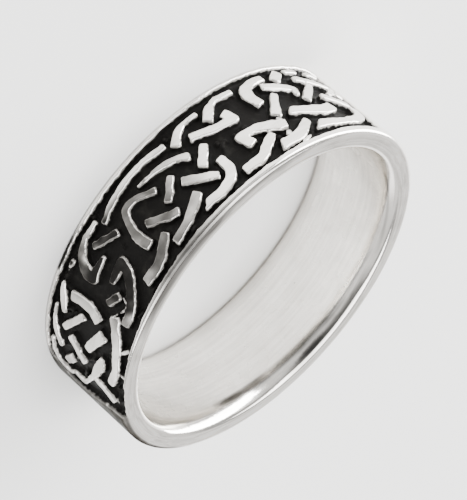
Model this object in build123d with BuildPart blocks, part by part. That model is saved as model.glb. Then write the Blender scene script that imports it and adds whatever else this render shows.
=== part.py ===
from build123d import *
import math
import os

# A cast silver finger ring, lying on one of its side faces. The ring's axis is +Z,
# the origin is on that axis at the level of the face it lies on, and the middle of
# the knotwork panel faces -Y. Millimetres and degrees.

# Shank
bore_diameter = 19.8
wall = 1.7
band_width = 6.75
outer_edge_round = 0.20

# The bore swells towards both mouths, so that the ring slides over a knuckle
comfort_depth = 0.5
comfort_length = 1.3
inner_edge_round = 0.18

# Sunk panel of knotwork, with a plain rail left along each side
upper_rail = 0.47
lower_rail = 0.40
panel_depth = 0.45
panel_arc = 155.0
panel_middle = -90.0

# Raised strands of the knot, standing level with the rails
strand_width = 0.70
corner_reach = 1.25

outer_radius = bore_diameter / 2 + wall
ground_radius = outer_radius - panel_depth
mouth_radius = bore_diameter / 2 + comfort_depth
panel_height = band_width - upper_rail - lower_rail
tool_clearance = 1.0
prism_start = ground_radius - tool_clearance
prism_length = panel_depth + 3 * tool_clearance

# The knot is charted on the unrolled panel. "along" is in hundredths of the panel's
# arc, "across" is in hundredths of its height from the lower rail, and "width" is a
# share of strand_width. A strand dives under another one where its run stops short.
# Columns: name, skew of the first end, skew of the last end, stations
# (along, across, width).
strands = [
    ("upper run", 40, 0, [(18.9, 86, 1.05), (15, 88.6, 0.9), (11, 89.6, 0.78), (7, 87.5, 0.85),
                          (3.6, 80, 1.1), (2.5, 66, 1.1)]),
    ("upper middle", -15, 20, [(10.1, 66, 1.15), (13.2, 69, 1.2), (17, 65, 1.1), (21, 58, 0.95)]),
    ("short a", 0, 0, [(8.8, 27, 0.6), (10.8, 36, 0.85), (14.7, 51, 0.85)]),
    ("lower hook", 0, 0, [(11.7, 17.5, 0.7), (8.5, 21.5, 0.7), (4.5, 26, 0.6), (1.6, 31, 0.6),
                          (3.5, 38, 0.5), (6.3, 45, 0.5)]),
    ("end bar", 0, 0, [(9.5, 47, 0.75), (6.8, 54, 0.8), (2.9, 61.5, 0.75)]),
    ("end piece", 0, 0, [(2.6, 46, 0.8), (0.8, 38, 0.8)]),
    ("lower bit a", 0, 0, [(12.3, 5, 0.5), (8.5, 6, 0.5)]),
    ("lower bit b", 0, 0, [(5.6, 8, 0.6), (2, 9, 0.6)]),
    ("lower square", 0, 0, [(13.9, 4.5, 1.0), (16.8, 16, 1.0)]),
    ("lower middle", 0, 0, [(15.3, 42, 0.45), (14.9, 33, 0.8), (16.8, 27, 0.85), (21, 17.8, 0.75)]),
    ("short b", 0, 0, [(20.1, 32, 0.7), (21.7, 41, 0.8), (24.3, 57.5, 0.92)]),
    ("upper a", 0, 30, [(19.8, 77, 0.8), (22, 83.5, 1.0), (24.8, 90.3, 1.05), (28.8, 90.3, 1.05)]),
    ("lower loop", 0, 0, [(18.7, 7.5, 0.8), (21.5, 7.8, 0.75), (24.4, 13, 1.05), (25.2, 25, 1.2),
                          (24.4, 38.5, 0.9)]),
    ("hook one", 0, 0, [(24.0, 71, 0.9), (25.4, 69, 1.25), (27.5, 64, 1.05), (29.9, 58.5, 0.9),
                        (33.5, 58, 0.85), (32.6, 73, 1.15)]),
    ("lower a", 0, 0, [(26.8, 8.3, 0.6), (31.3, 7, 0.5), (33.2, 12.5, 0.85), (35.2, 22.8, 0.95)]),
    ("upper b", 0, 0, [(28.1, 73.2, 0.7), (30.3, 79.5, 0.95), (33.4, 90.2, 0.95),
                       (37.9, 90.2, 0.85)]),
    ("hook two", 0, 0, [(31.8, 23.5, 0.9), (31.1, 37.2, 0.95), (35, 34, 0.75), (40, 24.8, 0.8)]),
    ("lower b", 0, 0, [(35.3, 8, 0.5), (38.8, 8, 0.5), (41, 13, 0.8), (42.9, 22, 0.85)]),
    ("arch", 0, 35, [(39.2, 61, 0.85), (39.1, 77, 0.9), (40.3, 86.5, 0.95), (43.2, 91, 0.95),
                     (47.2, 89, 0.8)]),
    ("short c", 0, 0, [(38.9, 38.8, 0.85), (42.5, 58.2, 0.85)]),
    ("slant a", 0, 0, [(41.3, 76.2, 0.8), (47, 53, 0.8)]),
    ("sickle", 0, 0, [(42.3, 39.5, 0.75), (45, 30.5, 0.6), (48, 25.5, 0.55), (52.7, 22.1, 0.2)]),
    ("lower c", 0, 0, [(43.9, 12.8, 0.6), (49, 8.3, 0.5), (54, 7.9, 0.6), (59, 12, 0.65),
                       (61.9, 16.9, 0.5)]),
    ("upper c", 0, 0, [(46.3, 72.5, 0.85), (48.5, 79.5, 0.95), (52, 87.3, 0.75),
                       (55.8, 90.3, 0.85)]),
    ("short d", 0, 0, [(47.2, 39.5, 0.75), (51.3, 58, 0.75)]),
    ("slant b", 0, 0, [(51.2, 72.5, 0.7), (54, 63.5, 0.85), (56.9, 53.3, 0.75)]),
    ("middle loop", 0, 0, [(50.9, 39.8, 0.6), (54.5, 28.5, 0.65), (57, 25.5, 0.7),
                           (58.0, 31, 0.75), (59.1, 45, 0.75), (59.5, 56, 1.03),
                           (59.0, 71.5, 1.0)]),
    ("upper d", 0, 0, [(55.4, 75, 0.9), (58.3, 84.5, 0.9), (61, 90.6, 1.0), (64.9, 88.3, 0.95)]),
    ("lower slant", 0, 0, [(61.1, 34.9, 0.68), (66.5, 19, 0.68)]),
    ("hook three", 0, 0, [(74.4, 90, 0.8), (71, 89.6, 0.95), (68.1, 79.8, 0.9),
                          (65.6, 67.8, 1.0), (64.8, 54.6, 0.95), (69.5, 57, 0.6)]),
    ("hook four", 0, 0, [(66.3, 34.8, 0.4), (71.2, 35.5, 1.05), (71.2, 26, 1.2),
                         (69.5, 13.7, 0.85), (66.5, 7, 0.55), (62.3, 8, 0.45)]),
    ("short e", 0, 0, [(70.1, 71.2, 0.75), (73.3, 61.6, 0.75)]),
    ("lower bit c", 0, 0, [(71, 6.8, 0.5), (73, 5.8, 0.3)]),
    ("upper e", 0, 0, [(74.3, 75, 0.9), (79.5, 89.5, 0.95), (84.8, 95, 0.85), (89.2, 90, 0.85)]),
    ("upright", 0, 0, [(77.8, 60.5, 1.1), (76.6, 49, 0.95), (76.6, 33, 0.95), (77.4, 19.5, 0.9)]),
    ("lower d", 0, 0, [(76.2, 4.4, 0.3), (78.3, 7.4, 0.75), (80, 11, 0.8), (82.7, 16.5, 0.55)]),
    ("slant c", 0, 0, [(79.6, 70, 1.1), (85.7, 53.8, 0.9)]),
    ("lower slant b", 0, 0, [(79.2, 41.3, 0.75), (82.5, 29, 0.75), (86.6, 15.8, 0.7)]),
    ("lower e", 0, 0, [(81.6, 4.8, 0.35), (85.5, 4.8, 0.45), (88.2, 9.2, 0.8), (91.6, 17.5, 0.75)]),
    ("short f", 0, 0, [(86.1, 29, 0.75), (90, 54, 0.75)]),
    ("kite", 0, 0, [(84.6, 75, 0.5), (86.8, 74.3, 1.15), (89.5, 69, 0.85), (91.7, 63.5, 0.5)]),
    ("end upper", 0, 0, [(91.6, 65, 0.5), (92.1, 79, 0.65), (93.7, 96.5, 0.8)]),
    ("end tick", 0, 0, [(91.7, 63.5, 0.45), (95.1, 55, 0.4), (97.1, 47.5, 0.65), (96.4, 34, 0.55)]),
    ("end short", 0, 0, [(92, 34, 0.9), (95.6, 18.5, 0.9)]),
    ("end loop", 0, 0, [(91.3, 4.8, 0.45), (95.4, 5.8, 0.6), (98.3, 12.5, 0.8), (98.4, 26, 0.75),
                        (96.8, 33.5, 0.5)]),
]

# The panel's two closed ends, as (along, across) up each end's edge, and the stretch
# where the upper rail gets thinner towards the last end
first_end = [(1.6, -6), (0.4, 6), (-0.5, 24), (-0.9, 46), (-0.5, 68), (0.3, 88), (1.2, 106)]
last_end = [(97.8, -6), (99.5, 6), (100.7, 16), (101.5, 28), (101.8, 38), (101.5, 47),
            (100.3, 61), (98.7, 78), (97.4, 91), (95.6, 112)]
thin_rail = [(70, 100), (78, 102.2), (86, 103.6), (92, 104.1), (97, 104.2), (97, 112)]
panel_overrun = 3.0
rail_overlap = 1.0


def turn(along):
    # Angle round the ring of a place on the chart
    return panel_middle + (along - 50) / 100 * panel_arc


def level(across):
    # Height above the lower side face of a place on the chart
    return lower_rail + across / 100 * panel_height


def facing_plane(angle, distance=0):
    # Upright plane that looks outwards at this angle, this far from the ring's axis
    outward = Vector(math.cos(math.radians(angle)), math.sin(math.radians(angle)), 0)
    return Plane(origin=outward * distance, x_dir=Vector(-outward.Y, outward.X, 0),
                 z_dir=outward)


def strand_outline(stations, first_skew, last_skew):
    # Both sides of a strand, laid out flat with the run on its centre line
    centres = [Vector(math.radians(turn(along)) * outer_radius, level(across))
               for along, across, width in stations]
    halves = [width * strand_width / 2 for along, across, width in stations]
    runs = [(b - a).normalized() for a, b in zip(centres, centres[1:])]
    sides = [Vector(-run.Y, run.X) for run in runs]
    left = [centres[0] + (sides[0] + runs[0] * math.tan(math.radians(first_skew))) * halves[0]]
    right = [centres[0] - (sides[0] + runs[0] * math.tan(math.radians(first_skew))) * halves[0]]
    for index in range(1, len(runs)):
        bisector = (sides[index - 1] + sides[index]).normalized()
        reach = min(1 / bisector.dot(sides[index]), corner_reach)
        left.append(centres[index] + bisector * halves[index] * reach)
        right.append(centres[index] - bisector * halves[index] * reach)
    left.append(centres[-1] + (sides[-1] + runs[-1] * math.tan(math.radians(last_skew))) * halves[-1])
    right.append(centres[-1] - (sides[-1] + runs[-1] * math.tan(math.radians(last_skew))) * halves[-1])
    return left + right[::-1]


def wrapped(points, angle):
    # Flat points as seen square on from this angle once they lie round the ring
    middle = math.radians(angle) * outer_radius
    return [(outer_radius * math.sin((point.X - middle) / outer_radius), point.Y)
            for point in points]


# The panel's hollow: a curved slab from the ground outwards, less everything that
# stands in it
with BuildPart() as hollow:
    for start, top in ((-panel_overrun, band_width - upper_rail), (thin_rail[0][0], band_width)):
        with BuildSketch(facing_plane(turn(start) - 90)) as slab:
            with Locations(((ground_radius + outer_radius + tool_clearance) / 2,
                            (lower_rail + top) / 2)):
                Rectangle(panel_depth + tool_clearance, top - lower_rail)
        revolve(axis=Axis.Z, revolution_arc=(100 + panel_overrun - start) / 100 * panel_arc)

    standing = []
    for name, first_skew, last_skew, stations in strands:
        reached = [along for along, across, width in stations]
        middle = turn((min(reached) + max(reached)) / 2)
        outline = strand_outline(stations, first_skew, last_skew)
        with BuildSketch(facing_plane(middle, prism_start), mode=Mode.PRIVATE) as strand:
            with BuildLine():
                Polyline(*wrapped(outline, middle), close=True)
            make_face()
        standing.append(extrude(strand.sketch, amount=prism_length,
                                mode=Mode.PRIVATE))

    for edge, beyond in ((first_end, -2 * panel_overrun), (last_end, 100 + 2 * panel_overrun),
                         (thin_rail, thin_rail[0][0] - rail_overlap)):
        corners = edge + [(beyond, edge[-1][1]), (beyond, edge[0][1])]
        middle = turn((edge[0][0] + edge[-1][0]) / 2)
        outline = [Vector(math.radians(turn(along)) * outer_radius, level(across))
                   for along, across in corners]
        with BuildSketch(facing_plane(middle, prism_start), mode=Mode.PRIVATE) as closed_end:
            with BuildLine():
                Polyline(*wrapped(outline, middle), close=True)
            make_face()
        standing.append(extrude(closed_end.sketch, amount=prism_length,
                                mode=Mode.PRIVATE))
    add(standing, mode=Mode.SUBTRACT)

with BuildPart() as band:
    with BuildSketch(Plane.XZ) as section:
        with BuildLine():
            lower_mouth = (mouth_radius, 0)
            upper_mouth = (mouth_radius, band_width)
            lower_start = (bore_diameter / 2, comfort_length)
            upper_start = (bore_diameter / 2, band_width - comfort_length)
            Line(lower_mouth, (outer_radius, 0))
            Line((outer_radius, 0), (outer_radius, band_width))
            Line((outer_radius, band_width), upper_mouth)
            TangentArc(upper_start, upper_mouth, tangent=(0, 1))
            Line(upper_start, lower_start)
            TangentArc(lower_start, lower_mouth, tangent=(0, -1))
        make_face()
        fillet(section.vertices().sort_by(Axis.X)[-4:-2], inner_edge_round)
        fillet(section.vertices().sort_by(Axis.X)[-2:], outer_edge_round)
    revolve(axis=Axis.Z)
    add(hollow.part, mode=Mode.SUBTRACT)

band.part.label = "band"
os.makedirs("parts", exist_ok=True)
export_step(band.part, "parts/band.step")
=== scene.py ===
import math
import bmesh
import bpy
import numpy as np
from mathutils import Matrix, Vector
from mathutils.geometry import delaunay_2d_cdt


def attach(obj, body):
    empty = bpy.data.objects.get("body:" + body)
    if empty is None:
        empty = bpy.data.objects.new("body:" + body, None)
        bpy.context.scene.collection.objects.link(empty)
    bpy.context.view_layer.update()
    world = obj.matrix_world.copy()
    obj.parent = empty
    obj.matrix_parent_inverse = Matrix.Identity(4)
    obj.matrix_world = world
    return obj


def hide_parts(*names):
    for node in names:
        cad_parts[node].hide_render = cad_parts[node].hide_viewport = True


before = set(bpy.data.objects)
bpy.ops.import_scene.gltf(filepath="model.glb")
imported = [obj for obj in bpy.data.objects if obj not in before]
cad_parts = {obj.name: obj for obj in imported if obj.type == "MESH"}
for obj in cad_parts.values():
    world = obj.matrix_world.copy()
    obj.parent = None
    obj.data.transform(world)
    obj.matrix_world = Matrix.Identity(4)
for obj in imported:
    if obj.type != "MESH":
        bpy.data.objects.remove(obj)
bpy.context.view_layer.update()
mm = 0.001

# Shank. Everything here is in millimetres and degrees.
shank = {
    "outerRadius": 11.6,
    "boreRadius": 9.9,
    "width": 6.75,
    "upperEdgeRound": 0.30,
    "lowerEdgeRound": 0.16,
    "comfortDepth": 0.5,
    "comfortLength": 1.3,
    "mouthRound": 0.40,
    "turnSteps": 480,
    "wallRows": 24,           # rows of faces up the plain outer wall
    "roundRows": 6,           # rows of faces over each outer edge
    "comfortRows": 18,        # rows of faces over each flare of the bore
    "sideRows": 5,
    "mouthRows": 5,
    "boreRows": 8,
}
panel = {
    "middle": -90.0,
    "arc": 155.0,
    "patchSteps": 224,        # turn steps that the knotwork patch takes of the whole ring
    "depth": 0.45,
    "upperRail": 0.47,
    "lowerRail": 0.40,
    "strandWidth": 0.70,
    "cornerReach": 1.25,
    "fieldCell": 0.03,
    "softening": 0.04,
    "bendCut": 0.32,          # how far before and after a station its bend begins
    "sharpBendCut": 0.08,
    "gentleBend": 0.3,        # a bend is gentle where the cosine of its turn is above this
    "mostCut": 0.45,          # share of a run that one bend may take
    "bendSteps": 4,
    "edgeLength": 0.05,       # length of the edge pieces that are tested, and how far beside them
    "edgeAside": 0.01,
    "edgeWander": 0.020,      # slow wander of the strands' edges, and the ragged one on it
    "edgeRaggedness": 0.010,
    "wanderReach": 0.4,       # how far from an edge line both have died away
    "outlineSpacing": 0.075,
    "smallestLoop": 0.12,     # outlines shorter than this, or of fewer points, are left out
    "fewestPoints": 8,
    "groundSpacing": 0.24,
    "looseClearance": 0.035,  # least distance of a loose point from an outline, and from a mark's
    "markClearance": 0.07,
    "sideMargin": 0.02,       # how far the outlines stay inside the patch's long sides
}
# distance out from a strand's edge line, and how far the metal has dropped there
edgeShape = [(-0.15, 0.0), (-0.10, 0.003), (-0.06, 0.013), (-0.025, 0.07), (0.03, 0.34),
             (0.085, 0.45)]
# Small unevenness of the casting, in millimetres
relief = {
    "groundFrom": (0.38, 0.44),     # drop over which the ground's roughness sets in
    "groundRoughness": 0.012,
    "topFrom": 0.1,                 # how far in from a strand's edge its top is fully uneven
    "railFade": 0.25,               # how far out on the rails the unevenness ends
    "topUnevenness": 0.007,
    "markRaggedness": 0.028,
    "markSteps": (-0.05, 0.0, 0.07, 0.11),    # distances out from a casting mark's edge line
    "markOutlines": (-0.03, 0.0, 0.06),
    "markSpacing": 0.06,
    "markOffStrand": 0.03,          # this far off the strands a mark's outline is on the ground
    "markShare": 0.3,               # and this share of it has to be, for the mark to show
    "markShoulder": 1.05,
    "markFoot": 0.1,
    "offMark": 9.0,                 # a drop that no place reaches, past the foot of a mark
}
# Painted shade: darker colour on the strands' tops, on the rail and on the wall past the panel's
# end, standing for the shaded floor that they mirror. Along the panel, how dark it is in the
# panel's middle, low on it, high on it and on the rail, and how far in from a strand's edge the
# polished rim ends and the painted black begins
paintedShadeAndTarnish = {
    "stretch": [(40, 0.0), (44, 0.08), (47, 0.2), (51, 0.38), (56, 0.5), (60, 0.48), (61.5, 0.85),
                (64, 0.95), (71, 1.0), (74, 0.5), (77, 0.12), (84, 0.04), (91, 0.06), (97, 0.12),
                (103, 0.0)],
    "lowStretch": [(64, 0.0), (67, 0.25), (69, 0.8), (71, 1.0), (73, 1.0), (75, 0.0)],
    "highStretch": [(44, 0.0), (50, 0.32), (56, 0.42), (65, 0.45), (68, 0.8), (71, 0.9), (74, 0.5),
                    (77, 0.12), (84, 0.04), (91, 0.06), (97, 0.12), (103, 0.0)],
    "railStretch": [(40, 0.0), (47, 0.12), (53, 0.36), (61, 0.36), (65, 0.1), (69, 0.0), (92, 0.0),
                    (98, 0.34), (103, 0.38), (109, 0.38), (116, 0.38), (129, 0.0)],
    "rimEnds": 0.05,
    "blackBegins": 0.09,
    "edgeFade": 0.015,        # fades out this little below the upper side face
    "railFrom": 0.02,         # on the rail from this far above and outside the ground's edge
    "wallFrom": 0.9,          # share of the half panel from which the wall past its end counts
    "tarnishFrom": (0.03, 0.18),    # drop over which the ground's own black sets in
    "lowEnd": (0.9, 1.4),     # heights between which low turns to middle, and middle to high
    "highEnd": (5.1, 5.4),
    "shadeBlotches": 0.3,
    "railShadeBlotches": 0.06,
}

# Painted dark reflections, drawn as darker silver colour: turns they run from and to, where they
# start and end, half their width, how dark. The place is 0 to 1 up the flare of the upper mouth, 1
# to 2 out across the upper side face, and 2 to 3 down over its outer edge.
paintedDarkReflections = [
    (42, 72, 0.20, 0.26, 0.22, 0.42),
    (62, 110, 0.22, 0.50, 0.24, 0.26),
    (72, 124, 0.82, 0.78, 0.18, 0.30),
    (128, 176, 0.76, 0.50, 0.09, 0.12),
    (-130, -88, 2.05, 1.90, 0.45, 0.15),
    (-106, -50, 1.90, 1.75, 0.65, 0.28),
]
reflectionEnds = 4      # how steeply a painted dark reflection fades in from its ends, and from its sides
reflectionSides = 1.3

# The knot on the unrolled panel: along in hundredths of the arc, across in hundredths of the
# height from the lower rail, width as a share of strandWidth.
# name, skew of both ends, stations (along, across, width)
strands = [
    ("upperRun", 40, 0, [(18.9, 86, 1.05), (15, 88.6, 0.9), (11, 89.6, 0.78), (7, 87.5, 0.85),
                         (3.6, 80, 1.1), (2.5, 66, 1.1)]),
    ("upperMiddle", -15, 20, [(10.1, 66, 1.15), (13.2, 69, 1.2), (17, 65, 1.1), (21, 58, 0.95)]),
    ("shortA", 0, 0, [(8.8, 27, 0.6), (10.8, 36, 0.85), (14.7, 51, 0.85)]),
    ("lowerHook", 0, 0, [(11.7, 17.5, 0.7), (8.5, 21.5, 0.7), (4.5, 26, 0.6), (1.6, 31, 0.6),
                         (3.5, 38, 0.5), (6.3, 45, 0.5)]),
    ("endBar", 0, 0, [(9.5, 47, 0.75), (6.8, 54, 0.8), (2.9, 61.5, 0.75)]),
    ("endPiece", 0, 0, [(2.6, 46, 0.8), (0.8, 38, 0.8)]),
    ("lowerBitA", 0, 0, [(12.3, 5, 0.5), (8.5, 6, 0.5)]),
    ("lowerBitB", 0, 0, [(5.6, 8, 0.6), (2, 9, 0.6)]),
    ("lowerSquare", 0, 0, [(13.9, 4.5, 1.0), (16.8, 16, 1.0)]),
    ("lowerMiddle", 0, 0, [(15.3, 42, 0.45), (14.9, 33, 0.8), (16.8, 27, 0.85), (21, 17.8, 0.75)]),
    ("shortB", 0, 0, [(20.1, 32, 0.7), (21.7, 41, 0.8), (24.3, 57.5, 0.92)]),
    ("upperA", 0, 30, [(19.8, 77, 0.8), (22, 83.5, 1.0), (24.8, 90.3, 1.05), (28.8, 90.3, 1.05)]),
    ("lowerLoop", 0, 0, [(18.7, 7.5, 0.8), (21.5, 7.8, 0.75), (24.4, 13, 1.05), (25.2, 25, 1.2),
                         (24.4, 38.5, 0.9)]),
    ("hookOne", 0, 0, [(24.0, 71, 0.9), (25.4, 69, 1.25), (27.5, 64, 1.05), (29.9, 58.5, 0.9),
                       (33.5, 58, 0.85), (32.6, 73, 1.15)]),
    ("lowerA", 0, 0, [(26.8, 8.3, 0.6), (31.3, 7, 0.5), (33.2, 12.5, 0.85), (35.2, 22.8, 0.95)]),
    ("upperB", 0, 0, [(28.1, 73.2, 0.7), (30.3, 79.5, 0.95), (33.4, 90.2, 0.95),
                      (37.9, 90.2, 0.85)]),
    ("hookTwo", 0, 0, [(31.8, 23.5, 0.9), (31.1, 37.2, 0.95), (35, 34, 0.75), (40, 24.8, 0.8)]),
    ("lowerB", 0, 0, [(35.3, 8, 0.5), (38.8, 8, 0.5), (41, 13, 0.8), (42.9, 22, 0.85)]),
    ("arch", 0, 35, [(39.2, 61, 0.85), (39.1, 77, 0.9), (40.3, 86.5, 0.95), (43.2, 91, 0.95),
                     (47.2, 89, 0.8)]),
    ("shortC", 0, 0, [(38.9, 38.8, 0.85), (42.5, 58.2, 0.85)]),
    ("slantA", 0, 0, [(41.3, 76.2, 0.8), (47, 53, 0.8)]),
    ("sickle", 0, 0, [(42.3, 39.5, 0.75), (45, 30.5, 0.6), (48, 25.5, 0.55), (52.7, 22.1, 0.2)]),
    ("lowerC", 0, 0, [(43.9, 12.8, 0.6), (49, 8.3, 0.5), (54, 7.9, 0.6), (59, 12, 0.65),
                      (61.9, 16.9, 0.5)]),
    ("upperC", 0, 0, [(46.3, 72.5, 0.85), (48.5, 79.5, 0.95), (52, 87.3, 0.75),
                      (55.8, 90.3, 0.85)]),
    ("shortD", 0, 0, [(47.2, 39.5, 0.75), (51.3, 58, 0.75)]),
    ("slantB", 0, 0, [(51.2, 72.5, 0.7), (54, 63.5, 0.85), (56.9, 53.3, 0.75)]),
    ("middleLoop", 0, 0, [(50.9, 39.8, 0.6), (54.5, 28.5, 0.65), (57, 25.5, 0.7),
                          (58.0, 31, 0.75), (59.1, 45, 0.75), (59.5, 56, 1.03),
                          (59.0, 71.5, 1.0)]),
    ("upperD", 0, 0, [(55.4, 75, 0.9), (58.3, 84.5, 0.9), (61, 90.6, 1.0), (64.9, 88.3, 0.95)]),
    ("lowerSlant", 0, 0, [(61.1, 34.9, 0.68), (66.5, 19, 0.68)]),
    ("hookThree", 0, 0, [(74.4, 90, 0.8), (71, 89.6, 0.95), (68.1, 79.8, 0.9),
                         (65.6, 67.8, 1.0), (64.8, 54.6, 0.95), (69.5, 57, 0.6)]),
    ("hookFour", 0, 0, [(66.3, 34.8, 0.4), (71.2, 35.5, 1.05), (71.2, 26, 1.2),
                        (69.5, 13.7, 0.85), (66.5, 7, 0.55), (62.3, 8, 0.45)]),
    ("shortE", 0, 0, [(70.1, 71.2, 0.75), (73.3, 61.6, 0.75)]),
    ("lowerBitC", 0, 0, [(71, 6.8, 0.5), (73, 5.8, 0.3)]),
    ("upperE", 0, 0, [(74.3, 75, 0.9), (79.5, 89.5, 0.95), (84.8, 95, 0.85), (89.2, 90, 0.85)]),
    ("upright", 0, 0, [(77.8, 60.5, 1.1), (76.6, 49, 0.95), (76.6, 33, 0.95), (77.4, 19.5, 0.9)]),
    ("lowerD", 0, 0, [(75.9, 5.5, 0.3), (77.8, 8.2, 0.7), (79.6, 12, 0.72), (82.1, 17, 0.5)]),
    ("slantC", 0, 0, [(79.6, 70, 1.1), (85.7, 53.8, 0.9)]),
    ("lowerSlantB", 0, 0, [(79.3, 41.3, 0.72), (82.5, 29.4, 0.72), (85.4, 19.2, 0.68)]),
    ("lowerE", 0, 0, [(81.1, 4.9, 0.32), (84.7, 4.8, 0.4), (87.4, 8.5, 0.56), (91.2, 17.8, 0.56)]),
    ("shortF", 0, 0, [(86.1, 29, 0.75), (90, 54, 0.75)]),
    ("kite", 0, 0, [(84.6, 75, 0.5), (86.8, 74.3, 1.15), (89.5, 69, 0.85), (91.7, 63.5, 0.5)]),
    ("endUpper", 0, 0, [(91.6, 65, 0.5), (92.1, 79, 0.65), (93.7, 96.5, 0.8)]),
    ("endTick", 0, 0, [(91.7, 63.5, 0.45), (95.1, 55, 0.4), (97.1, 47.5, 0.65), (96.4, 34, 0.55)]),
    ("endShort", 0, 0, [(91.4, 36, 0.85), (94.4, 24, 0.85)]),
    ("endLoop", 0, 0, [(90.6, 3.6, 0.32), (94.4, 4.6, 0.4), (96.9, 8.8, 0.45), (98.1, 15.5, 0.5),
                       (98.3, 25, 0.5), (97, 32.5, 0.42)]),
]
# Casting marks left in the panel: thickness in mm, height as a share of the depth, route
castingMarks = [
    ("knob", 0.34, 0.85, [(25.3, 81), (25.4, 81.5)]),
    ("joint", 0.30, 0.8, [(24.6, 61), (24.4, 63)]),
    ("splash", 0.16, 0.7, [(35.8, 50), (36.8, 52.5), (37, 55)]),
    ("splashDrop", 0.16, 0.6, [(37, 47), (37.1, 47.6)]),
    ("lumpA", 0.2, 0.6, [(30.8, 50), (31, 50.4)]),
    ("lumpB", 0.2, 0.6, [(32.3, 50), (32.5, 50.4)]),
    ("lumpC", 0.2, 0.6, [(33.5, 51), (33.6, 51.5)]),
    ("railNubA", 0.18, 0.7, [(41.2, 96.5), (41.3, 97)]),
    ("railNubB", 0.2, 0.7, [(51.3, 95.3), (52, 95.3)]),
    ("finA", 0.18, 0.9, [(22.6, 95.5), (24.8, 99)]),
    ("lumpD", 0.2, 0.6, [(27.5, 79.5), (27.6, 80)]),
    ("railNubC", 0.16, 0.7, [(13, 99), (13.2, 99.4)]),
    ("dotA", 0.16, 0.7, [(11.8, 50), (11.9, 50.4)]),
    ("dotB", 0.16, 0.6, [(42.9, 6.5), (43, 6.8)]),
    ("dotC", 0.16, 0.6, [(62.2, 1.5), (62.3, 2)]),
    ("dotD", 0.18, 0.6, [(65.1, 98.5), (65.3, 98.5)]),
    ("dotE", 0.18, 0.5, [(66, 58.5), (66.2, 58.8)]),
    ("dotF", 0.16, 0.4, [(62.6, 46), (62.8, 46.4)]),
    ("finB", 0.12, 0.8, [(70.1, 76.4), (70.6, 82), (72, 82.4), (74.4, 74)]),
    ("finC", 0.13, 0.7, [(73.3, 6), (74.2, 6.4), (75.4, 5)]),
    ("finD", 0.16, 0.85, [(79.7, 97.5), (78.9, 101.5), (78.3, 103.4)]),
    ("finE", 0.12, 0.7, [(71.1, 98.6), (69.8, 101.5)]),
    ("finF", 0.12, 0.8, [(84.7, 101), (84.9, 109)]),
    ("dotG", 0.18, 0.5, [(83.3, 82), (83.4, 82.5)]),
    ("dotH", 0.16, 0.4, [(83.5, 86.3), (83.6, 86.8)]),
    ("finG", 0.12, 0.7, [(80.7, 19.5), (80.2, 25)]),
    ("finH", 0.10, 0.6, [(76.4, 8.5), (76.9, 13), (76.4, 17.7)]),
    ("finI", 0.12, 0.75, [(92.5, 66), (94.2, 59.8), (96.3, 52)]),
    ("finJ", 0.14, 0.6, [(93, 52.2), (94.9, 48.7)]),
    ("finK", 0.10, 0.5, [(89.1, 98.5), (88.4, 107)]),
    ("finL", 0.12, 0.7, [(88.5, 56.5), (87.1, 63.5)]),
    ("finM", 0.18, 0.75, [(91.8, 36.5), (90.2, 43.3)]),
    ("dotI", 0.16, 0.8, [(92.2, 99.5), (92.5, 101.5)]),
]
# The edge of the sunk ground, all the way round. The upper rail thins towards the last end,
# where the ground runs out over the rounded edge.
groundEdge = [(1.6, -1), (16, -1.8), (30, -2.4), (48, -2), (60, -1.4), (74, -2), (80, -2.8),
              (88, -2.8), (94, -2.4), (97.8, -2.2),
              (99.5, 6), (100.7, 16), (101.5, 28), (101.8, 38), (101.5, 47), (100.3, 61),
              (98.7, 78), (97.6, 91), (97.1, 104), (96.7, 109.4), (92, 109.2), (85, 107.6),
              (76, 105.2), (68, 103.4), (62, 101.8), (51.5, 100), (30, 100), (10, 100), (4, 100),
              (1.2, 99), (0.3, 88), (-0.5, 68), (-0.9, 46), (-0.5, 24), (0.4, 6)]

panelHeight = shank["width"] - panel["upperRail"] - panel["lowerRail"]
turnStep = 360.0 / shank["turnSteps"]
mmPerDegree = math.radians(1.0) * shank["outerRadius"]
patchReach = panel["patchSteps"] * turnStep / 2 * mmPerDegree
# the patch runs up the outer wall and on over both rounded edges, laid out flat
wallLow = shank["lowerEdgeRound"]
wallHigh = shank["width"] - shank["upperEdgeRound"]
patchLow = wallLow - shank["lowerEdgeRound"] * math.pi / 2
patchHigh = wallHigh + shank["upperEdgeRound"] * math.pi / 2


def chartPoint(along, across):
    # flat place on the unrolled ring: x from the panel's middle, y up from the lower side face
    return np.array([(along - 50) / 100 * panel["arc"] * mmPerDegree,
                     panel["lowerRail"] + across / 100 * panelHeight])


def bentRoute(stations):
    # the stations with each bend drawn as a short curve: x, y, half width
    route = np.array([(*chartPoint(along, across), width * panel["strandWidth"] / 2)
                      for along, across, width in stations])
    bent = [route[0]]
    for before, here, after in zip(route[:-2], route[1:-1], route[2:]):
        back, ahead = before - here, after - here
        backLength, aheadLength = np.linalg.norm(back[:2]), np.linalg.norm(ahead[:2])
        turning = -(back[:2] @ ahead[:2]) / (backLength * aheadLength)
        cut = panel["bendCut"] if turning > panel["gentleBend"] else panel["sharpBendCut"]
        start = here + back * min(cut / backLength, panel["mostCut"])
        end = here + ahead * min(cut / aheadLength, panel["mostCut"])
        for share in np.linspace(0, 1, panel["bendSteps"] + 1):
            bent.append(start * (1 - share) ** 2 + here * 2 * share * (1 - share)
                        + end * share ** 2)
    bent.append(route[-1])
    return np.array(bent)


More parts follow.
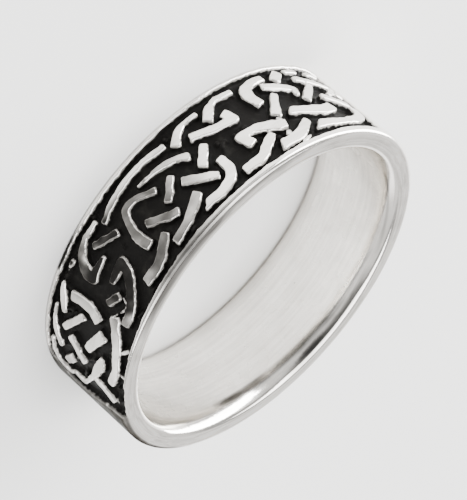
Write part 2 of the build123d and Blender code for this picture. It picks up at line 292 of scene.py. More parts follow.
def strandOutline(stations, firstSkew, lastSkew):
    route = bentRoute(stations)
    centres, halves = route[:, :2], route[:, 2]
    runs = np.diff(centres, axis=0)
    runs /= np.linalg.norm(runs, axis=1)[:, None]
    sides = np.stack([-runs[:, 1], runs[:, 0]], axis=1)
    offsets = [sides[0] + runs[0] * math.tan(math.radians(firstSkew))]
    for before, after in zip(sides[:-1], sides[1:]):
        bisector = (before + after) / np.linalg.norm(before + after)
        offsets.append(bisector * min(1 / (bisector @ after), panel["cornerReach"]))
    offsets.append(sides[-1] + runs[-1] * math.tan(math.radians(lastSkew)))
    offsets = np.array(offsets) * halves[:, None]
    return np.concatenate([centres + offsets, (centres - offsets)[::-1]])


# The fields below live on one fine grid over the knotwork patch
fieldMargin = 0.3
fieldX = np.arange(-patchReach - fieldMargin, patchReach + fieldMargin, panel["fieldCell"])
fieldY = np.arange(patchLow - fieldMargin, patchHigh + fieldMargin, panel["fieldCell"])
farAway = 0.6


def windowOf(points, reach):
    low = points.min(axis=0) - reach
    high = points.max(axis=0) + reach
    columns = slice(*np.searchsorted(fieldX, [low[0], high[0]]))
    rows = slice(*np.searchsorted(fieldY, [low[1], high[1]]))
    return columns, rows


def lineDistance(gridX, gridY, start, end):
    span = end - start
    share = ((gridX - start[0]) * span[0] + (gridY - start[1]) * span[1]) / max(span @ span, 1e-12)
    share = np.clip(share, 0, 1)
    return np.hypot(gridX - start[0] - share * span[0], gridY - start[1] - share * span[1])


def isInside(gridX, gridY, outline):
    winding = np.zeros(gridX.shape, int)
    for start, end in zip(outline, np.roll(outline, -1, axis=0)):
        side = (end[0] - start[0]) * (gridY - start[1]) - (end[1] - start[1]) * (gridX - start[0])
        winding += (start[1] <= gridY) & (end[1] > gridY) & (side > 0)
        winding -= (start[1] > gridY) & (end[1] <= gridY) & (side < 0)
    return winding != 0


def edgePieces(outline):
    # the outline in pieces, without those that a sharp bend buries inside the strand itself
    pieces = []
    for start, end in zip(outline, np.roll(outline, -1, axis=0)):
        span = end - start
        length = max(np.linalg.norm(span), 1e-9)
        count = max(2, int(length / panel["edgeLength"]) + 1)
        cuts = start + span * np.linspace(0, 1, count)[:, None]
        middles = (cuts[:-1] + cuts[1:]) / 2
        aside = np.array([-span[1], span[0]]) / length * panel["edgeAside"]
        buried = (isInside(*(middles + aside).T, outline) & isInside(*(middles - aside).T, outline))
        if buried.any():
            pieces += [(cuts[k], cuts[k + 1]) for k in np.nonzero(~buried)[0]]
        else:
            pieces.append((start, end))
    return pieces


def insideDistance(gridX, gridY, outline):
    # distance to a closed outline, negative inside it
    nearest = np.full(gridX.shape, farAway)
    for start, end in edgePieces(outline):
        nearest = np.minimum(nearest, lineDistance(gridX, gridY, start, end))
    return np.where(isInside(gridX, gridY, outline), -nearest, nearest)


def softened(field, reach):
    # blur, with the edge rows repeated outwards
    pad = int(math.ceil(3 * reach / panel["fieldCell"])) + 1
    wide = np.pad(field, pad, mode="edge")
    offsets = np.arange(-pad, pad + 1) * panel["fieldCell"]
    weights = np.exp(-0.5 * (offsets / reach) ** 2)
    weights /= weights.sum()
    wide = np.apply_along_axis(np.convolve, 0, wide, weights, mode="same")
    wide = np.apply_along_axis(np.convolve, 1, wide, weights, mode="same")
    return wide[pad:-pad, pad:-pad]


def wander(size, seed):
    # smooth random field of unit spread with bumps of about this size
    spots = np.random.default_rng(seed)
    coarse = size / 2.5
    countX = int((fieldX[-1] - fieldX[0]) / coarse) + 4
    countY = int((fieldY[-1] - fieldY[0]) / coarse) + 4
    values = spots.standard_normal((countX, countY))
    placeX = (fieldX - fieldX[0]) / coarse + 1
    placeY = (fieldY - fieldY[0]) / coarse + 1
    across = np.array([np.interp(placeY, np.arange(countY), row) for row in values])
    both = np.array([np.interp(placeX, np.arange(countX), column) for column in across.T]).T
    both = softened(both, coarse * 0.6)
    return both / both.std()


standing = np.full((len(fieldX), len(fieldY)), farAway)
for name, firstSkew, lastSkew, stations in strands:
    outline = strandOutline(stations, firstSkew, lastSkew)
    columns, rows = windowOf(outline, farAway)
    gridX, gridY = np.meshgrid(fieldX[columns], fieldY[rows], indexing="ij")
    standing[columns, rows] = np.minimum(standing[columns, rows],
                                         insideDistance(gridX, gridY, outline))
edgeOutline = np.array([chartPoint(along, across) for along, across in groundEdge])
gridX, gridY = np.meshgrid(fieldX, fieldY, indexing="ij")
rim = -insideDistance(gridX, gridY, edgeOutline)
standing = np.minimum(standing, rim)
standing = softened(standing, panel["softening"])
nearEdge = np.clip(1 - np.abs(standing) / panel["wanderReach"], 0, 1)
standing += nearEdge * (panel["edgeWander"] * wander(0.5, 4)
                        + panel["edgeRaggedness"] * wander(0.17, 5))
print("strands laid out:", len(strands))

marks = []
markWander = wander(0.22, 31)
for name, thickness, height, route in castingMarks:
    points = np.array([chartPoint(along, across) for along, across in route])
    columns, rows = windowOf(points, farAway)
    gridX, gridY = np.meshgrid(fieldX[columns], fieldY[rows], indexing="ij")
    distance = np.full(gridX.shape, farAway)
    for start, end in zip(points[:-1], points[1:]):
        distance = np.minimum(distance, lineDistance(gridX, gridY, start, end))
    field = np.full(standing.shape, farAway)
    field[columns, rows] = (distance - thickness / 2
                            + relief["markRaggedness"] * markWander[columns, rows])
    marks.append((height, field))
groundWander = wander(0.32, 11) * 0.6 + wander(0.9, 12) * 0.4
topWander = wander(0.7, 21) * 0.6 + wander(1.6, 22) * 0.4


def sampled(field, places):
    # field value at flat places, between the grid's own points
    px = np.clip((places[:, 0] - fieldX[0]) / panel["fieldCell"], 0, len(fieldX) - 1.001)
    py = np.clip((places[:, 1] - fieldY[0]) / panel["fieldCell"], 0, len(fieldY) - 1.001)
    ix, iy = px.astype(int), py.astype(int)
    fx, fy = px - ix, py - iy
    return ((field[ix, iy] * (1 - fx) + field[ix + 1, iy] * fx) * (1 - fy)
            + (field[ix, iy + 1] * (1 - fx) + field[ix + 1, iy + 1] * fx) * fy)


def contourLoops(field, level, columns=slice(None), rows=slice(None)):
    # closed lines where the field crosses this level
    values = field[columns, rows] - level
    values = np.where(values == 0, 1e-9, values)
    xs, ys = fieldX[columns], fieldY[rows]
    above = values > 0
    flat = above[:-1, :-1].astype(int) + above[1:, :-1] + above[1:, 1:] + above[:-1, 1:]
    joins = {}

    def crossing(i, j, upright):
        other = values[i, j + 1] if upright else values[i + 1, j]
        share = values[i, j] / (values[i, j] - other)
        if upright:
            return xs[i], ys[j] + share * (ys[j + 1] - ys[j])
        return xs[i] + share * (xs[i + 1] - xs[i]), ys[j]

    for i, j in zip(*np.nonzero((flat > 0) & (flat < 4))):
        cuts = []
        if above[i, j] != above[i + 1, j]:
            cuts.append((i, j, False))
        if above[i + 1, j] != above[i + 1, j + 1]:
            cuts.append((i + 1, j, True))
        if above[i, j + 1] != above[i + 1, j + 1]:
            cuts.append((i, j + 1, False))
        if above[i, j] != above[i, j + 1]:
            cuts.append((i, j, True))
        if len(cuts) == 4 and above[i, j] != (values[i:i + 2, j:j + 2].mean() > 0):
            cuts = [cuts[1], cuts[2], cuts[3], cuts[0]]
            pairs = ((cuts[0], cuts[3]), (cuts[1], cuts[2]))
        elif len(cuts) == 4:
            pairs = ((cuts[0], cuts[1]), (cuts[2], cuts[3]))
        else:
            pairs = ((cuts[0], cuts[1]),)
        for first, second in pairs:
            joins.setdefault(first, []).append(second)
            joins.setdefault(second, []).append(first)
    loops = []
    unused = set(joins)
    for start in sorted(joins):
        if start not in unused:
            continue
        loop = [start]
        unused.discard(start)
        here = start
        while True:
            onward = [cut for cut in joins[here] if cut in unused]
            if not onward:
                break
            here = onward[0]
            unused.discard(here)
            loop.append(here)
        loops.append(np.array([crossing(*cut) for cut in loop]))
    return loops


def respaced(loop, spacing):
    closed = np.vstack([loop, loop[:1]])
    lengths = np.concatenate([[0], np.cumsum(np.linalg.norm(np.diff(closed, axis=0), axis=1))])
    count = max(6, int(round(lengths[-1] / spacing)))
    places = np.linspace(0, lengths[-1], count, endpoint=False)
    return np.stack([np.interp(places, lengths, closed[:, 0]),
                     np.interp(places, lengths, closed[:, 1])], axis=1)


flatPoints = []
flatEdges = []


def addLoop(points):
    first = len(flatPoints)
    flatPoints.extend(map(tuple, points))
    flatEdges.extend((first + k, first + (k + 1) % len(points)) for k in range(len(points)))


def addOutline(loop, spacing):
    # an outline that left the patch would pull faces across the ring's hole
    points = respaced(loop, spacing)
    points[:, 1] = np.clip(points[:, 1], patchLow + panel["sideMargin"],
                           patchHigh - panel["sideMargin"])
    addLoop(points)


# four sides of the patch, shared with the rest of the ring
patchColumns = [(k - panel["patchSteps"] / 2) * turnStep * mmPerDegree
                for k in range(panel["patchSteps"] + 1)]
patchRows = np.concatenate([np.linspace(patchLow, wallLow, shank["roundRows"] + 1)[:-1],
                            np.linspace(wallLow, wallHigh, shank["wallRows"] + 1)[:-1],
                            np.linspace(wallHigh, patchHigh, shank["roundRows"] + 1)])
addLoop([(x, patchLow) for x in patchColumns[:-1]]
        + [(patchColumns[-1], y) for y in patchRows[:-1]]
        + [(x, patchHigh) for x in patchColumns[:0:-1]]
        + [(patchColumns[0], y) for y in patchRows[:0:-1]])
for level, drop in edgeShape:
    for loop in contourLoops(standing, level):
        if len(loop) > panel["fewestPoints"] and np.ptp(loop, axis=0).max() > panel["smallestLoop"]:
            addOutline(loop, panel["outlineSpacing"])
for height, field in marks:
    for level in relief["markOutlines"]:
        for loop in contourLoops(field, level):
            if len(loop) > panel["fewestPoints"]:
                onGround = sampled(standing, loop) > relief["markOffStrand"]
                if onGround.mean() > relief["markShare"]:
                    addOutline(loop, relief["markSpacing"])
print("outline points:", len(flatPoints))

# loose points between the outlines, so that the ground and the tops can be uneven
spacing = panel["groundSpacing"]
rowSpacing = spacing * 0.866      # rows of even triangles
loose = []
rowCount = int((wallHigh - wallLow) / rowSpacing)
for k in range(rowCount + 1):
    y = wallLow + (wallHigh - wallLow) * k / rowCount
    start = -patchReach + spacing * (0.5 if k % 2 else 1.0)
    loose += [(x, y) for x in np.arange(start, patchReach - spacing * 0.3, spacing)]
for y in (*patchRows[1:shank["roundRows"]], *patchRows[-shank["roundRows"]:-1]):
    loose += [(x, y) for x in patchColumns[1:-1]]
loose = np.array(loose)
depthThere = sampled(standing, loose)
clear = np.min([np.abs(depthThere - level) for level, drop in edgeShape],
               axis=0) > panel["looseClearance"]
for height, field in marks:
    clear &= np.abs(sampled(field, loose)) > panel["markClearance"]
flatPoints.extend(map(tuple, loose[clear]))

result = delaunay_2d_cdt([Vector(p) for p in flatPoints], flatEdges, [], 0, 1e-5, False)
patchFlat = np.array([tuple(v) for v in result[0]])
patchFaces = [tuple(face) for face in result[2]]
print("patch:", len(patchFlat), "points,", len(patchFaces), "faces")


def dropAt(places):
    levels = [level for level, drop in edgeShape]
    drops = [drop for level, drop in edgeShape]
    standingDistance = sampled(standing, places)
    drop = np.interp(standingDistance, levels, drops)
    ground = np.interp(drop, relief["groundFrom"], (0, 1))
    drop = drop - ground * relief["groundRoughness"] * (1 + sampled(groundWander, places))
    top = np.clip(-standingDistance / relief["topFrom"], 0, 1)
    inPanel = np.clip(1 + sampled(rim, places) / relief["railFade"], 0, 1)
    drop = drop + top * inPanel * relief["topUnevenness"] * np.abs(sampled(topWander, places))
    for height, field in marks:
        markDrop = np.interp(sampled(field, places), relief["markSteps"],
                             [panel["depth"] * (1 - height),
                              panel["depth"] * (relief["markShoulder"] - height),
                              panel["depth"] * (1 - relief["markFoot"] * height),
                              relief["offMark"]])
        drop = np.minimum(drop, markDrop)
    return drop


patchDrop = dropAt(patchFlat)
nearness = 1e-4
onEdge = ((np.abs(np.abs(patchFlat[:, 0]) - patchReach) < nearness)
          | (patchFlat[:, 1] < patchLow + nearness) | (patchFlat[:, 1] > patchHigh - nearness))
patchDrop[onEdge] = 0.0
patchTurn = patchFlat[:, 0] / mmPerDegree + panel["middle"]

ringPoints = []
ringFaces = []
ringLayers = {"tarnish": [], "paintedShadeAndTarnish": [], "darkReflection": []}


def outerPlace(flatHeight, drop):
    # radius and height of a flat place on the outer wall or over its rounded edges
    onWall = np.clip(flatHeight, wallLow, wallHigh)
    edgeRound = np.where(flatHeight < wallLow, shank["lowerEdgeRound"], shank["upperEdgeRound"])
    tilt = (flatHeight - onWall) / edgeRound
    rounded = shank["outerRadius"] - edgeRound + edgeRound * np.cos(tilt)
    return np.minimum(rounded, shank["outerRadius"] - drop), onWall + edgeRound * np.sin(tilt)


def addPatch(turns, radii, heights, faces, tarnish, paintedShade, darkReflection):
    first = len(ringPoints)
    angle = np.radians(turns)
    ringPoints.extend(zip(radii * np.cos(angle), radii * np.sin(angle), heights))
    ringLayers["tarnish"].extend(tarnish)
    ringLayers["paintedShadeAndTarnish"].extend(paintedShade)
    ringLayers["darkReflection"].extend(darkReflection)
    ringFaces.extend(tuple(first + k for k in face) for face in faces)


patchRadii, patchHeights = outerPlace(patchFlat[:, 1], patchDrop)


# painted shade: how dark the tops, rail and wall are painted at these turns, read from a stretch
# along the panel
def shadeReach(turns, stretch):
    along = (turns - panel["middle"]) / panel["arc"] * 100 + 50
    return np.interp(along, [place for place, dark in stretch], [dark for place, dark in stretch])


topShadeShare = np.clip((-sampled(standing, patchFlat) - paintedShadeAndTarnish["rimEnds"])
                   / (paintedShadeAndTarnish["blackBegins"] - paintedShadeAndTarnish["rimEnds"]), 0, 1)
pastLow = np.interp(patchFlat[:, 1], paintedShadeAndTarnish["lowEnd"], (0, 1))
pastMiddle = np.interp(patchFlat[:, 1], paintedShadeAndTarnish["highEnd"], (0, 1))
topShade = ((1 - pastLow) * shadeReach(patchTurn, paintedShadeAndTarnish["lowStretch"])
            + (pastLow - pastMiddle) * shadeReach(patchTurn, paintedShadeAndTarnish["stretch"])
            + pastMiddle * shadeReach(patchTurn, paintedShadeAndTarnish["highStretch"]))
# the rail and the wall past the panel's end take painted shade too, a dark reflection painted into
# their colour
onRail = patchFlat[:, 1] > shank["width"] - panel["upperRail"] + paintedShadeAndTarnish["railFrom"]
pastEnd = patchTurn > panel["middle"] + panel["arc"] / 2 * paintedShadeAndTarnish["wallFrom"]
onWall = ((onRail | pastEnd) & (patchFlat[:, 1] > 0)
          & (sampled(rim, patchFlat) < paintedShadeAndTarnish["railFrom"]))
paintedShade = np.where(onWall, shadeReach(patchTurn, paintedShadeAndTarnish["railStretch"]), topShadeShare * topShade)
paintedShade *= np.clip((shank["width"] - patchHeights) / paintedShadeAndTarnish["edgeFade"], 0, 1)
shadeBlotches = 1 + (np.where(onWall, paintedShadeAndTarnish["railShadeBlotches"], paintedShadeAndTarnish["shadeBlotches"])
                * sampled(topWander, patchFlat))

# half of the shank's section: from the lower edge of the outer face, under and up the bore
comfortRadius = ((shank["comfortDepth"] ** 2 + shank["comfortLength"] ** 2)
                 / (2 * shank["comfortDepth"]))
comfortCentre = (shank["boreRadius"] + comfortRadius, shank["comfortLength"])
roundRadius = shank["mouthRound"]
roundX = comfortCentre[0] - math.sqrt((comfortRadius - roundRadius) ** 2
                                      - (comfortCentre[1] - roundRadius) ** 2)
meeting = math.degrees(math.atan2(roundRadius - comfortCentre[1], roundX - comfortCentre[0])) % 360


def arcPoints(centre, radius, firstAngle, lastAngle, count):
    angles = np.radians(np.linspace(firstAngle, lastAngle, count + 1))
    return [(centre[0] + radius * math.cos(angle), centre[1] + radius * math.sin(angle))
            for angle in angles]


def halfSection(edgeRound):
    # from the outer edge of a side face, across it and round into the bore
    sideOuter = shank["outerRadius"] - edgeRound
    points = [(sideOuter + (roundX - sideOuter) * k / shank["sideRows"], 0.0)
              for k in range(shank["sideRows"])]
    points += arcPoints((roundX, roundRadius), roundRadius, 270, meeting, shank["mouthRows"])
    return points + arcPoints(comfortCentre, comfortRadius, meeting, 180, shank["comfortRows"])[1:]


# painted dark reflection: how dark each place on the flare, side face and outer edge is painted
def darkReflectionAt(turns, radii, heights):
    sideOuter = shank["outerRadius"] - shank["upperEdgeRound"]
    below = shank["width"] - heights
    place = np.where(below < 1e-6, 1 + (radii - roundX) / (sideOuter - roundX),
                     1 - below / shank["comfortLength"])
    place = np.where(radii > sideOuter, 2 + below / shank["upperEdgeRound"], place)
    darkest = np.zeros(len(turns))
    for firstTurn, lastTurn, startPlace, endPlace, halfWidth, depth in paintedDarkReflections:
        run = (turns - firstTurn) / (lastTurn - firstTurn)
        away = np.abs(place - startPlace - (endPlace - startPlace) * run) / halfWidth
        fade = np.clip(reflectionEnds * np.minimum(run, 1 - run), 0, 1)
        darkest = np.maximum(darkest, depth * fade * np.clip(reflectionSides * (1 - away), 0, 1))
    return darkest


def addStrip(profile, firstStep, lastStep, takesPaintedShade):
    # turns a run of (radius, height) points round the ring from one step to another
    steps = np.arange(firstStep, lastStep + 1)
    turns = np.repeat(panel["middle"] + (steps - panel["patchSteps"] / 2) * turnStep, len(profile))
    radii = np.tile([radius for radius, height in profile], len(steps))
    heights = np.tile([height for radius, height in profile], len(steps))
    across = len(profile)
    faces = [(a * across + b, (a + 1) * across + b, (a + 1) * across + b + 1, a * across + b + 1)
             for a in range(len(steps) - 1) for b in range(across - 1)]
    darkReflection = darkReflectionAt(turns, radii, heights)
    # painted shade, a dark reflection painted on the plain outer wall past the panel's end, where
    # takesPaintedShade is set
    paintedShade = (shadeReach(turns, paintedShadeAndTarnish["railStretch"]) * takesPaintedShade
             * np.clip((shank["width"] - heights) / paintedShadeAndTarnish["edgeFade"], 0, 1))
    addPatch(turns, radii, heights, faces, np.zeros(len(turns)), paintedShade, darkReflection)


addPatch(patchTurn, patchRadii, patchHeights, patchFaces,
         np.interp(patchDrop, paintedShadeAndTarnish["tarnishFrom"], (0, 1)), np.clip(paintedShade * shadeBlotches, 0, 1),
         darkReflectionAt(patchTurn, patchRadii, patchHeights))
lowerHalf = halfSection(shank["lowerEdgeRound"])
upperHalf = [(radius, shank["width"] - height)
             for radius, height in halfSection(shank["upperEdgeRound"])]
straightBore = shank["width"] - 2 * shank["comfortLength"]
boreLine = [(shank["boreRadius"], shank["comfortLength"] + straightBore * k / shank["boreRows"])
            for k in range(1, shank["boreRows"])]
addStrip([outerPlace(row, 0.0) for row in patchRows[::-1]], panel["patchSteps"],
         shank["turnSteps"], True)
addStrip(lowerHalf + boreLine + upperHalf[::-1], 0, shank["turnSteps"], False)

mesh = bpy.data.meshes.new("silverBand")
mesh.from_pydata([(x * mm, y * mm, z * mm) for x, y, z in ringPoints], [], ringFaces)
for layerName, values in ringLayers.items():
    layer = mesh.attributes.new(layerName, "FLOAT", "POINT")
    layer.data.foreach_set("value", np.array(values, np.float32))
silverBand = bpy.data.objects.new("silverBand", mesh)
bpy.context.scene.collection.objects.link(silverBand)

shell = bmesh.new()
shell.from_mesh(mesh)
bmesh.ops.remove_doubles(shell, verts=shell.verts, dist=2e-6)
bmesh.ops.dissolve_degenerate(shell, edges=shell.edges, dist=1e-7)
bmesh.ops.recalc_face_normals(shell, faces=shell.faces)
openEdges = sum(1 for edge in shell.edges if len(edge.link_faces) != 2)
volume = shell.calc_volume(signed=True)
if volume < 0:
    bmesh.ops.reverse_faces(shell, faces=shell.faces)
triangles = sum(len(face.verts) - 2 for face in shell.faces)
shell.to_mesh(mesh)
shell.free()
mesh.shade_smooth()
print("silver band:", triangles, "triangles, open edges", openEdges, "volume", abs(volume) * 1e9)
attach(silverBand, "root")
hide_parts("band")

# Finish: bright cast silver, blackened in the sunk panel, with painted shade and painted dark
# reflections as darker colour on parts of it
silverFinish = {
    "brightColour": (0.95, 0.92, 0.875, 1.0),
    "dullColour": (0.52, 0.495, 0.46, 1.0),
    "blackColour": (0.0060, 0.0056, 0.0052, 1.0),
    "edgeColour": (1.0, 1.0, 1.0, 1.0),
    "hazeColour": (0.018, 0.017, 0.015, 1.0),
    "paintedShadeDepth": 0.008,      # how much of the silver's colour is left where the painted shade on the tops is fully black
    "brightRoughness": 0.15,
    "boreRoughness": 0.25,
    "flareRoughness": 0.11,
    "boreStreaks": 0.4,
    "sideStreaks": 0.8,
    "blackRoughness": 0.5,
    "specular": 0.05,
    "wallStreaks": 0.4,
    "streakWander": 0.0015,   # how far a polishing line wanders, in metres
    # scale and detail of each noise
    "streakNoise": (5200, 4.0),
    "turnNoise": (180, 2.0),
    "patchyNoise": (3200, 4.0),
    "shadeLayerNoise": (1700, 5.0),
    "hazeNoise": (1300, 6.0),
    "dullNoise": (500, 5.0),
    "unevenNoise": (900, 3.0),
    "grainNoise": (4600, 5.0),
    # how each value is stretched: from low, from high, to low, to high
    "streakRange": (0.35, 0.7, 0.0, 1.0),
    "patchyRange": (0.35, 0.65, 0.75, 1.25),
    "sunkRange": (0.2, 0.6, 0.0, 1.0),
    "shadeLayerRange": (0.3, 0.6, 0.85, 1.0),
    "hazeRange": (0.55, 0.8, 0.0, 1.0),
    "dullRange": (0.4, 0.7, 0.0, 0.25),
    "reflectionShadeRange": (0.0, 1.0, 0.75, 1.15),
    "solidRange": (0.7, 1.0, 0.0, 1.0),
    "unevenRange": (0.3, 0.7, -0.02, 0.05),
    "grainRange": (0.0, 1.0, 0.5, 1.6),
    # radii in metres over which one finish turns to the next: bore to flare, flare to side face
    # and side face to outer wall
    "flareRadii": (0.00991, 0.01),
    "mouthRadii": (0.0104, 0.0106),
    "mouthStreakRadii": (0.0103, 0.01055),
    "wallRadii": (0.01125, 0.0114),
    "bumpDepth": 0.00003,
    "bumpStrength": 0.3,
    "streakBump": 0.12,
}


def makeSilver():
    material = bpy.data.materials.new("castSilver")
    material.use_nodes = True
    nodes = material.node_tree.nodes
    links = material.node_tree.links
    shader = nodes["Principled BSDF"]
    shader.inputs["Specular IOR Level"].default_value = silverFinish["specular"]
    place = nodes.new("ShaderNodeTexCoord").outputs["Object"]

    def noise(scale, detail, vector=place):
        node = nodes.new("ShaderNodeTexNoise")
        node.inputs["Scale"].default_value = scale
        node.inputs["Detail"].default_value = detail
        links.new(vector, node.inputs["Vector"])
        return node.outputs["Fac"]

    def mapped(value, fromLow, fromHigh, toLow, toHigh):
        node = nodes.new("ShaderNodeMapRange")
        node.inputs["From Min"].default_value = fromLow
        node.inputs["From Max"].default_value = fromHigh
        node.inputs["To Min"].default_value = toLow
        node.inputs["To Max"].default_value = toHigh
        links.new(value, node.inputs["Value"])
        return node.outputs["Result"]

    def combined(operation, first, second):
        node = nodes.new("ShaderNodeMath")
        node.operation = operation
        node.use_clamp = operation == "ADD"
        for index, value in enumerate((first, second)):
            if isinstance(value, float):
                node.inputs[index].default_value = value
            else:
                links.new(value, node.inputs[index])
        return node.outputs["Value"]

    def layer(name):
        node = nodes.new("ShaderNodeAttribute")
        node.attribute_name = name
        return node.outputs["Fac"]

    def mixed(factor, first, second):
        node = nodes.new("ShaderNodeMix")
        node.data_type = "RGBA"
        links.new(factor, node.inputs["Factor"])
        for socket, value in (("A", first), ("B", second)):
            if isinstance(value, tuple):
                node.inputs[socket].default_value = value
            else:
                links.new(value, node.inputs[socket])
        return node.outputs["Result"]

    # distance from the ring's axis, for what runs round the ring
    flat = nodes.new("ShaderNodeVectorMath")
    flat.operation = "MULTIPLY"
    flat.inputs[1].default_value = (1, 1, 0)
    links.new(place, flat.inputs[0])
    length = nodes.new("ShaderNodeVectorMath")
    length.operation = "LENGTH"
    links.new(flat.outputs["Vector"], length.inputs[0])
    radius = length.outputs["Value"]
    height = nodes.new("ShaderNodeSeparateXYZ")
    links.new(place, height.inputs["Vector"])
    rounds = nodes.new("ShaderNodeCombineXYZ")
    links.new(radius, rounds.inputs["X"])
    links.new(height.outputs["Z"], rounds.inputs["Y"])
    links.new(mapped(noise(*silverFinish["turnNoise"]), 0.0, 1.0, 0.0,
                     silverFinish["streakWander"]), rounds.inputs["Z"])
    streaks = mapped(noise(*silverFinish["streakNoise"], rounds.outputs["Vector"]),
                     *silverFinish["streakRange"])

    # where it is dark: the ground's own blackening, in the ground and up the strands' sides, and
    # painted shade on some tops, on the rail and on the wall past the panel's end
    patchy = mapped(noise(*silverFinish["patchyNoise"]), *silverFinish["patchyRange"])
    sunk = mapped(combined("MULTIPLY", layer("tarnish"), patchy), *silverFinish["sunkRange"])
    shadeLayer = combined("MULTIPLY", layer("paintedShadeAndTarnish"),
                    mapped(noise(*silverFinish["shadeLayerNoise"]), *silverFinish["shadeLayerRange"]))
    mask = combined("MAXIMUM", sunk, shadeLayer)
    haze = mapped(noise(*silverFinish["hazeNoise"]), *silverFinish["hazeRange"])

    streakShare = mapped(radius, *silverFinish["mouthStreakRadii"],
                         silverFinish["boreStreaks"], silverFinish["sideStreaks"])
    onSide = mapped(radius, *silverFinish["wallRadii"], 1.0, silverFinish["wallStreaks"])
    streaky = combined("MULTIPLY", streaks, combined("MULTIPLY", streakShare, onSide))
    dull = combined("ADD", streaky,
                    mapped(noise(*silverFinish["dullNoise"]), *silverFinish["dullRange"]))
    bright = mixed(dull, silverFinish["brightColour"], silverFinish["dullColour"])
    # painted dark reflections and painted shade pull the silver's colour and its specular tint
    # towards black
    reflectionShade = combined("MULTIPLY", layer("darkReflection"), mapped(streaks, *silverFinish["reflectionShadeRange"]))
    paintedLightShare = combined("POWER", silverFinish["paintedShadeDepth"], combined("ADD", shadeLayer, reflectionShade))
    shadedColour = mixed(paintedLightShare, silverFinish["blackColour"], bright)
    dark = mixed(haze, silverFinish["blackColour"], silverFinish["hazeColour"])
    links.new(mixed(sunk, shadedColour, dark), shader.inputs["Base Color"])
    links.new(mixed(paintedLightShare, silverFinish["blackColour"], silverFinish["edgeColour"]),
              shader.inputs["Specular Tint"])
    solid = combined("MAXIMUM", sunk, mapped(shadeLayer, *silverFinish["solidRange"]))
    links.new(mapped(solid, 0.0, 1.0, 1.0, 0.0), shader.inputs["Metallic"])

    flared = mapped(radius, *silverFinish["flareRadii"],
                    silverFinish["boreRoughness"], silverFinish["flareRoughness"])
    outside = mapped(radius, *silverFinish["mouthRadii"], 0.0, silverFinish["brightRoughness"])
    uneven = combined("ADD", combined("MAXIMUM", flared, outside),
                      mapped(noise(*silverFinish["unevenNoise"]), *silverFinish["unevenRange"]))
    rough = nodes.new("ShaderNodeMix")
    links.new(mask, rough.inputs["Factor"])
    links.new(uneven, rough.inputs["A"])
    rough.inputs["B"].default_value = silverFinish["blackRoughness"]
    links.new(rough.outputs["Result"], shader.inputs["Roughness"])

    bump = nodes.new("ShaderNodeBump")
    bump.inputs["Distance"].default_value = silverFinish["bumpDepth"]
    bump.inputs["Strength"].default_value = silverFinish["bumpStrength"]
    grain = combined("MULTIPLY", noise(*silverFinish["grainNoise"]),
                     mapped(mask, *silverFinish["grainRange"]))
    lines = combined("MULTIPLY", streaks, silverFinish["streakBump"])
    links.new(combined("ADD", grain, lines), bump.inputs["Height"])
    links.new(bump.outputs["Normal"], shader.inputs["Normal"])
    return material


mesh.materials.clear()
mesh.materials.append(makeSilver())

# Studio: a pale floor, and walls that are brightest behind the ring and dim overhead. A dark gap
# runs along the foot of the front wall, and the camera looks in through a dark opening.
studio = {
    "floorSize": 3.0,
    "floorColour": (0.78, 0.78, 0.77, 1.0),
    "floorRoughness": 0.9,
    "wallColour": (1.0, 0.995, 0.985, 1.0),
    "rearTone": 1.5,
    "sideTone": 1.3,
    "frontShare": 0.9,
    "overheadShare": 0.4,
    "gapShare": 0.3,
    "openingShare": 0.2,
    "skirtShare": 2.2,        # a brighter skirt low on the rear wall
    "opening": (-98, 36),     # where it is: azimuth, elevation
    "openingEdge": (0.965, 0.995),
    # where each tone begins and ends, as depth into the studio or height, both from -1 to 1
    "sideToRear": (0.2, 0.95),
    "frontToSide": (-0.9, -0.1),
    "overhead": (0.56, 0.7),
    "gapHeight": (0.13, 0.22),
    "gapDepth": (-0.6, -0.25),
    "skirtHeight": (0.2, 0.34),
    "skirtDepth": (0.3, 0.7),
}
floorMesh = bpy.data.meshes.new("floor")
reach = studio["floorSize"] / 2
floorCorners = [(-reach, -reach, 0), (reach, -reach, 0), (reach, reach, 0), (-reach, reach, 0)]
floorMesh.from_pydata(floorCorners, [], [(0, 1, 2, 3)])
floor = bpy.data.objects.new("floor", floorMesh)
bpy.context.scene.collection.objects.link(floor)
floorPaint = bpy.data.materials.new("floorPaint")
floorPaint.use_nodes = True
floorShader = floorPaint.node_tree.nodes["Principled BSDF"]
floorShader.inputs["Base Color"].default_value = studio["floorColour"]
floorShader.inputs["Roughness"].default_value = studio["floorRoughness"]
floorMesh.materials.append(floorPaint)

world = bpy.data.worlds.new("studio")
bpy.context.scene.world = world
world.use_nodes = True
wallNodes = world.node_tree.nodes
wallLinks = world.node_tree.links
lookedAt = wallNodes.new("ShaderNodeTexCoord").outputs["Generated"]
directions = wallNodes.new("ShaderNodeSeparateXYZ")
wallLinks.new(lookedAt, directions.inputs["Vector"])


def towardsPlace(direction):
    azimuth, elevation = (math.radians(angle) for angle in direction)
    return Vector((math.cos(elevation) * math.cos(azimuth),
                   math.cos(elevation) * math.sin(azimuth), math.sin(elevation)))


def wallRange(value, ends, toLow, toHigh):
    node = wallNodes.new("ShaderNodeMapRange")
    node.interpolation_type = "SMOOTHSTEP"
    node.inputs["From Min"].default_value, node.inputs["From Max"].default_value = studio[ends]
    node.inputs["To Min"].default_value = toLow
    node.inputs["To Max"].default_value = toHigh
    wallLinks.new(value, node.inputs["Value"])
    return node.outputs["Result"]


def wallCombined(operation, first, second):
    node = wallNodes.new("ShaderNodeMath")
    node.operation = operation
    wallLinks.new(first, node.inputs[0])
    wallLinks.new(second, node.inputs[1])
    return node.outputs["Value"]


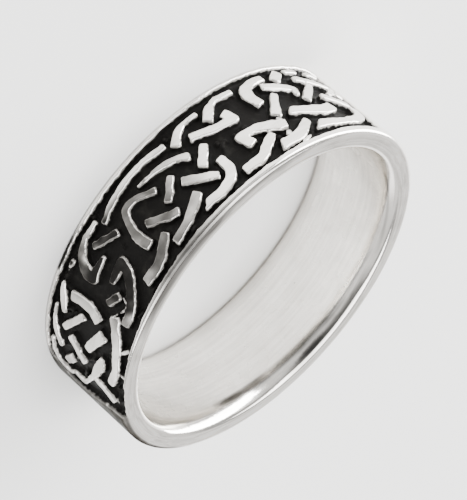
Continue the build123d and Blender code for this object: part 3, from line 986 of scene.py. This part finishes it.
depthInStudio, upInStudio = directions.outputs["Y"], directions.outputs["Z"]
wallTone = wallCombined("MULTIPLY", wallRange(depthInStudio, "sideToRear", studio["sideTone"],
                                              studio["rearTone"]),
                        wallRange(depthInStudio, "frontToSide", studio["frontShare"], 1.0))
wallTone = wallCombined("MULTIPLY", wallTone,
                        wallRange(upInStudio, "overhead", 1.0, studio["overheadShare"]))
gap = wallCombined("MAXIMUM", wallRange(upInStudio, "gapHeight", studio["gapShare"], 1.0),
                   wallRange(depthInStudio, "gapDepth", studio["gapShare"], 1.0))
wallTone = wallCombined("MULTIPLY", wallTone, gap)
facing = wallNodes.new("ShaderNodeVectorMath")
facing.operation = "DOT_PRODUCT"
facing.inputs[1].default_value = towardsPlace(studio["opening"])
wallLinks.new(lookedAt, facing.inputs[0])
opening = wallRange(facing.outputs["Value"], "openingEdge", 1.0, studio["openingShare"])
wallTone = wallCombined("MULTIPLY", wallTone, opening)
skirt = wallCombined("MINIMUM", wallRange(upInStudio, "skirtHeight", studio["skirtShare"], 1.0),
                     wallRange(depthInStudio, "skirtDepth", 1.0, studio["skirtShare"]))
wallTone = wallCombined("MULTIPLY", wallTone, skirt)
wallLinks.new(wallTone, wallNodes["Background"].inputs["Strength"])
wallNodes["Background"].inputs["Color"].default_value = studio["wallColour"]

# lamp name: direction it stands in (azimuth, elevation), distance, width and height in m, watts
lamps = [
    ("overheadLamp", (0, 89), 0.7, 0.8, 0.8, 15.0),
    ("keyLamp", (168, 22), 0.5, 0.9, 0.2, 11.0),
]


def addLamp(name, direction, distance, width, height, watts):
    light = bpy.data.lights.new(name, "AREA")
    light.shape = "RECTANGLE"
    light.size = width
    light.size_y = height
    light.energy = watts
    lamp = bpy.data.objects.new(name, light)
    towards = towardsPlace(direction)
    lamp.location = towards * distance
    lamp.rotation_euler = (-towards).to_track_quat("-Z", "Y").to_euler()
    bpy.context.scene.collection.objects.link(lamp)


for lampSetting in lamps:
    addLamp(*lampSetting)

# Camera, from the ring's middle, in millimetres and degrees
viewpoint = {
    "place": (5.36, -133.94, 66.62),
    "heading": 92.5,
    "downTilt": 26.56,
    "roll": 130.78,
    "lens": 182.6,
}
heading = math.radians(viewpoint["heading"])
downTilt = math.radians(viewpoint["downTilt"])
forward = Vector((math.cos(downTilt) * math.cos(heading), math.cos(downTilt) * math.sin(heading),
                  -math.sin(downTilt)))
levelRight = forward.cross(Vector((0, 0, 1))).normalized()
levelUp = levelRight.cross(forward)
roll = math.radians(viewpoint["roll"])
cameraRight = levelRight * math.cos(roll) + levelUp * math.sin(roll)
cameraUp = levelUp * math.cos(roll) - levelRight * math.sin(roll)
cameraData = bpy.data.cameras.new("camera")
cameraData.sensor_fit = "AUTO"
cameraData.sensor_width = 36.0
cameraData.lens = viewpoint["lens"]
cameraData.clip_start = 0.01
cameraData.clip_end = 20.0
camera = bpy.data.objects.new("camera", cameraData)
ringMiddle = Vector((0, 0, shank["width"] / 2))
camera.matrix_world = (Matrix.Translation((Vector(viewpoint["place"]) + ringMiddle) * mm)
                       @ Matrix((cameraRight, cameraUp, -forward)).transposed().to_4x4())
bpy.context.scene.collection.objects.link(camera)
bpy.context.scene.camera = camera
print("studio set")
